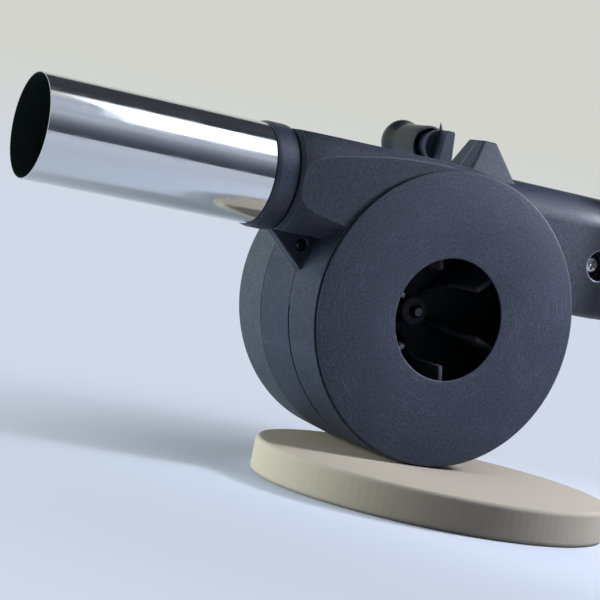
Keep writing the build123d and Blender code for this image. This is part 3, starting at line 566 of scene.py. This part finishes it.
# Sizes in mm; "faces" is -1 for a head on the lid's side and 1 for one on the crank's side
screwLook = {
    "handle_screws": {"head": 3.5, "height": 2.4, "length": 14.0, "shank": 1.4, "slotHalf": 0.42,
                      "slotReach": 1.9, "slotWall": 0.3, "sunk": 1.3, "body": "housing",
                      "faces": -1, "places": [(63.5, 13.1, 29.0), (108.0, 13.1, 27.5)]},
    "gusset_screw": {"head": 1.9, "height": 1.0, "length": 3.4, "shank": 1.0, "slotHalf": 0.28,
                     "slotReach": 1.1, "slotWall": 0.2, "sunk": 0.6, "body": "housing",
                     "faces": -1, "places": [(-53.4, 19.4, 15.6)]},
    "cover_screws": {"head": 2.9, "height": 2.2, "length": 12.0, "shank": 1.4, "slotHalf": 0.38,
                     "slotReach": 1.6, "slotWall": 0.25, "sunk": 1.2, "body": "housing",
                     "faces": 1, "places": [(45.2 * math.cos(math.radians(a)), 56.0,
                                             45.2 * math.sin(math.radians(a)))
                                            for a in (85, 205, 325)]},
    "crank_screw": {"head": 4.2, "height": 2.6, "length": 9.0, "shank": 1.4, "slotHalf": 0.48,
                    "slotReach": 2.3, "slotWall": 0.3, "sunk": 1.4, "body": "crank",
                    "faces": 1, "places": [(24.6, 76.0, 5.0)]},
}
for seed, (node, look) in enumerate(screwLook.items(), headLook["firstSeed"]):
    heading = (-look["faces"] * math.pi / 2, 0.0, 0.0)
    mesh = repeatedMesh(node + "Set", screwMesh(node + "Unit", look), look["places"],
                        lambda index: heading, finishes[node], headLook["spin"], seed)
    placePiece(node + "Set", mesh, look["body"], node)
print("screws set")

# Fan: six plain blades on a disc, with a hub sunk at its front for the shaft's end
fanLook = {
    "angles": (102.5, 42.5, -17.5, -77.5, -137.5, 162.5), "thick": 1.8, "rounding": 0.3,
    "blade": ((17.1, 5.5), (42.5, 5.5), (44.0, 7.0), (44.0, 36.4), (8.25, 36.4), (17.1, 22.99)),
    "hub": [(1.51, 26.0, 0.0), (2.5, 26.0, 0.0), (2.5, 23.0, 0.25), (5.25, 23.8, 0.5),
            (5.25, 35.5, 0.0), (44.0, 35.5, 0.4), (44.0, 37.3, 0.4), (1.51, 37.3, 0.0)],
}
form = bmesh.new()
sheet = form.faces.new([form.verts.new((x / 1000, y / 1000, -fanLook["thick"] / 2000))
                        for x, y in fanLook["blade"]])
raised = bmesh.ops.extrude_face_region(form, geom=[sheet])["geom"]
bmesh.ops.translate(form, verts=[g for g in raised if isinstance(g, bmesh.types.BMVert)],
                    vec=(0, 0, fanLook["thick"] / 1000))
bmesh.ops.recalc_face_normals(form, faces=form.faces)
bmesh.ops.bevel(form, geom=form.edges[:], offset=fanLook["rounding"] / 1000, segments=2,
                profile=0.5, affect="EDGES")
bladeUnit = bpy.data.meshes.new("bladeUnit")
form.to_mesh(bladeUnit)
form.free()
smoothByAngle(bladeUnit, degrees=40)
blades = repeatedMesh("blades", bladeUnit, [(0, 0, 0)] * len(fanLook["angles"]),
                      lambda index: (0.0, -math.radians(fanLook["angles"][index]), 0.0),
                      fanAbs, spin=0.0, seed=1)
form = bmesh.new()
form.from_mesh(blades)
hubSection = roundedSection(fanLook["hub"], steps=4)
form.from_mesh(turnedMesh("hub", hubSection, "Y", (0, 0, 0), segments=96))
fanMesh = bpy.data.meshes.new("impeller")
form.to_mesh(fanMesh)
form.free()
placePiece("impellerFan", fanMesh, "fan", "impeller")
print("fan made")


# 1 for what the camera sees, straight or in steel, and 0 for light that is only scattered
def seenDirectly(tree):
    path = addNode(tree, "ShaderNodeLightPath")
    shown = addNode(tree, "ShaderNodeMath",
                    links={0: path.outputs["Is Camera Ray"], 1: path.outputs["Is Glossy Ray"]},
                    operation="MAXIMUM").outputs[0]
    return addNode(tree, "ShaderNodeMath",
                   links={0: shown, 1: path.outputs["Is Transmission Ray"]},
                   operation="MAXIMUM").outputs[0]


# The stage: a pale floor that fades into the backdrop, and a low pale disc under the drum,
# because the crank's knob swings lower than the drum. In metres
stageLook = {
    "floorZ": -0.0645, "floorReach": 8, "floor": "#ECF0F8", "far": "#D1D9E8", "above": "#D3D4CE",
    "rise": (-0.02, 0.07), "fade": (0.06, 0.3), "bounce": "#83868C", "disc": "#C6BAA6",
    "discRadius": 0.063, "discCentre": (0.006, 0.001), "discTopZ": -0.0525, "discRound": 0.0015,
    "paintRough": 0.8, "cloudScale": 12.0, "paler": 1.04,
    "ambient": "#C4C8D2", "ambientStrength": 0.12,
}


# Matt pale paint: even, with faint clouds. What it throws back on the object is kept low, so that
# the undersides stay dark
def palePaint(name, colour, fades):
    material, tree = newMaterial(name)
    place = addNode(tree, "ShaderNodeTexCoord").outputs["Object"]
    cloud = addNode(tree, "ShaderNodeTexNoise", {"Scale": stageLook["cloudScale"], "Detail": 3.0},
                    {"Vector": place}).outputs[0]
    paler = [min(1.0, c * stageLook["paler"]) for c in linear(colour)]
    tone = addNode(tree, "ShaderNodeMix", {6: linear(colour), 7: paler}, {0: cloud},
                   data_type="RGBA").outputs[2]
    shader = addNode(tree, "ShaderNodeBsdfPrincipled", {"Roughness": stageLook["paintRough"]},
                     {"Base Color": tone}).outputs[0]
    if fades:
        reach = addNode(tree, "ShaderNodeVectorMath", links={0: place},
                        operation="LENGTH").outputs["Value"]
        fade = addNode(tree, "ShaderNodeMapRange",
                       {"From Min": stageLook["fade"][0], "From Max": stageLook["fade"][1]},
                       {"Value": reach}, interpolation_type="SMOOTHSTEP").outputs[0]
        glow = addNode(tree, "ShaderNodeEmission",
                       {"Color": linear(stageLook["far"]), "Strength": 1.0}).outputs[0]
        shader = addNode(tree, "ShaderNodeMixShader",
                         links={0: fade, 1: shader, 2: glow}).outputs[0]
    dull = addNode(tree, "ShaderNodeBsdfDiffuse",
                   {"Color": linear(stageLook["bounce"])}).outputs[0]
    shader = addNode(tree, "ShaderNodeMixShader",
                     links={0: seenDirectly(tree), 1: dull, 2: shader}).outputs[0]
    finishMaterial(tree, shader)
    return material


floorZ, floorReach = stageLook["floorZ"], stageLook["floorReach"]
floorMesh = bpy.data.meshes.new("floor")
floorMesh.from_pydata([(-floorReach, -floorReach, floorZ), (floorReach, -floorReach, floorZ),
                       (floorReach, floorReach, floorZ), (-floorReach, floorReach, floorZ)],
                      [], [(0, 1, 2, 3)])
floor = linkObject("floor", floorMesh)
floorMesh.materials.append(palePaint("paleFloor", stageLook["floor"], True))
discForm = bmesh.new()
bmesh.ops.create_cone(discForm, cap_ends=True, segments=128, radius1=stageLook["discRadius"],
                      radius2=stageLook["discRadius"], depth=stageLook["discTopZ"] - floorZ)
bmesh.ops.translate(discForm, verts=discForm.verts,
                    vec=(*stageLook["discCentre"], (stageLook["discTopZ"] + floorZ) / 2))
rims = [e for e in discForm.edges if not e.is_boundary and e.calc_face_angle(0) > 1.0]
bmesh.ops.bevel(discForm, geom=rims, offset=stageLook["discRound"], segments=4, affect="EDGES",
                profile=0.5)
discMesh = bpy.data.meshes.new("restDisc")
discForm.to_mesh(discMesh)
discForm.free()
disc = linkObject("restDisc", discMesh)
discMesh.materials.append(palePaint("paleDisc", stageLook["disc"], False))

world = bpy.data.worlds.new("studio")
bpy.context.scene.world = world
world.use_nodes = True
tree = world.node_tree
tree.nodes.clear()
direction = addNode(tree, "ShaderNodeTexCoord").outputs["Generated"]
height = addNode(tree, "ShaderNodeSeparateXYZ", links={0: direction}).outputs[2]
rise = addNode(tree, "ShaderNodeMapRange",
               {"From Min": stageLook["rise"][0], "From Max": stageLook["rise"][1]},
               {"Value": height}, interpolation_type="SMOOTHSTEP").outputs[0]
backdrop = addNode(tree, "ShaderNodeMix",
                   {6: linear(stageLook["far"]), 7: linear(stageLook["above"])}, {0: rise},
                   data_type="RGBA").outputs[2]
lit = addNode(tree, "ShaderNodeBackground",
              {"Color": linear(stageLook["ambient"]),
               "Strength": stageLook["ambientStrength"]}).outputs[0]
seen = addNode(tree, "ShaderNodeBackground", {"Strength": 1.0}, {"Color": backdrop}).outputs[0]
both = addNode(tree, "ShaderNodeMixShader",
               links={0: seenDirectly(tree), 1: lit, 2: seen}).outputs[0]
addNode(tree, "ShaderNodeOutputWorld", links={"Surface": both})


def softLamp(name, look):
    lamp = bpy.data.lights.new(name, "AREA")
    lamp.shape = look["shape"]
    lamp.size, lamp.size_y = look["size"]
    lamp.energy = look["power"]
    lamp.color = linear(look["tint"])[:3]
    box = linkObject(name, lamp)
    box.location = look["place"]
    box.visible_camera = False
    box.visible_glossy = look["inGloss"]
    box.rotation_euler = Vector(look["aim"]).to_track_quat("-Z", "Y").to_euler()


# Metres and watts: the leaning box draws the tube's bright band, the small one the grip's
# highlight, and the fill from the left lifts the drum's bands
lampLook = {
    "keyBox": {"shape": "RECTANGLE", "size": (0.84, 0.79), "place": (0.47, -0.217, 0.847),
               "aim": (0.0, 0.78, -0.63), "power": 4.4, "tint": "#E4ECFF", "inGloss": True},
    "frontBox": {"shape": "DISK", "size": (0.08, 0.08), "place": (0.22, -0.1, 0.135),
                 "aim": (-0.19, 0.11, -0.11), "power": 0.85, "tint": "#E8EEFF", "inGloss": True},
    "leftFill": {"shape": "RECTANGLE", "size": (0.8, 0.3), "place": (-0.7, 0.45, 0.10),
                 "aim": (0.7, -0.42, -0.08), "power": 10.8, "tint": "#DCE9EC", "inGloss": False},
}
for name, look in lampLook.items():
    softLamp(name, look)


# The flags' glow gets paler up to palestZ, by this power of the height, and painted shade from
# its folds varies it
flagGlowLook = {"palestZ": 0.95, "power": 2.0, "foldScale": 6.0, "shade": (0.75, 1.25)}


# Glowing studio flags, seen only in gloss: they paint the reflection of a room of cloth into steel
# and plastic, and not a white void
def glowingFlag(name, look):
    flagMesh = bpy.data.meshes.new(name)
    flagMesh.from_pydata(look["corners"], [], [(0, 1, 2, 3)])
    material, tree = newMaterial(name + "Cloth")
    place = addNode(tree, "ShaderNodeTexCoord").outputs["Object"]
    height = addNode(tree, "ShaderNodeSeparateXYZ", links={0: place}).outputs[2]
    rise = addNode(tree, "ShaderNodeMapRange",
                   {"From Min": 0.0, "From Max": flagGlowLook["palestZ"]},
                   {"Value": height}).outputs[0]
    rise = addNode(tree, "ShaderNodeMath", {1: flagGlowLook["power"]}, {0: rise},
                   operation="POWER").outputs[0]
    fold = addNode(tree, "ShaderNodeTexNoise", {"Scale": flagGlowLook["foldScale"], "Detail": 3.0},
                   {"Vector": place}).outputs[0]
    tone = addNode(tree, "ShaderNodeMix", {6: linear(look["low"]), 7: linear(look["high"])},
                   {0: rise}, data_type="RGBA").outputs[2]
    shade = addNode(tree, "ShaderNodeMapRange",
                    {"To Min": flagGlowLook["shade"][0], "To Max": flagGlowLook["shade"][1]},
                    {"Value": fold}).outputs[0]
    glow = addNode(tree, "ShaderNodeEmission", links={"Color": tone, "Strength": shade}).outputs[0]
    finishMaterial(tree, glow)
    flagMesh.materials.append(material)
    flag = linkObject(name, flagMesh)
    for sight in ("camera", "diffuse", "shadow", "transmission", "volume_scatter"):
        setattr(flag, "visible_" + sight, False)


flagLook = {
    "flagBehindCamera": {"low": "#4A505C", "high": "#C0C7D6", "corners": [
        (-1.6, -1.3, -0.06), (2.6, -1.3, -0.06), (2.6, -1.3, 4.0), (-1.6, -1.3, 4.0)]},
    "flagAbove": {"low": "#3F4248", "high": "#3F4248", "corners": [
        (-0.8, -0.11, 1.0), (1.8, -0.11, 1.0), (1.8, 1.25, 1.0), (-0.8, 1.25, 1.0)]},
}
for name, look in flagLook.items():
    glowingFlag(name, look)
print("stage and lamps set")

cameraLook = {
    "place": (-0.348796, -0.545024, 0.022203), "forward": (0.46917316, 0.88220569, -0.03986994),
    "up": (-0.15627391, 0.12737483, 0.97946624), "sensorMm": 36.0, "lensMm": 111.0,
    "shift": (-0.0015, 0.0008),
}
lens = bpy.data.cameras.new("camera")
lens.sensor_width = cameraLook["sensorMm"]
lens.lens = cameraLook["lensMm"]
lens.shift_x, lens.shift_y = cameraLook["shift"]
camera = linkObject("camera", lens)
forward = Vector(cameraLook["forward"])
side = forward.cross(Vector(cameraLook["up"])).normalized()
facing = Matrix((side, side.cross(forward), -forward)).transposed().to_4x4()
camera.matrix_world = Matrix.Translation(cameraLook["place"]) @ facing
bpy.context.scene.camera = camera
bpy.context.scene.view_settings.view_transform = "Standard"
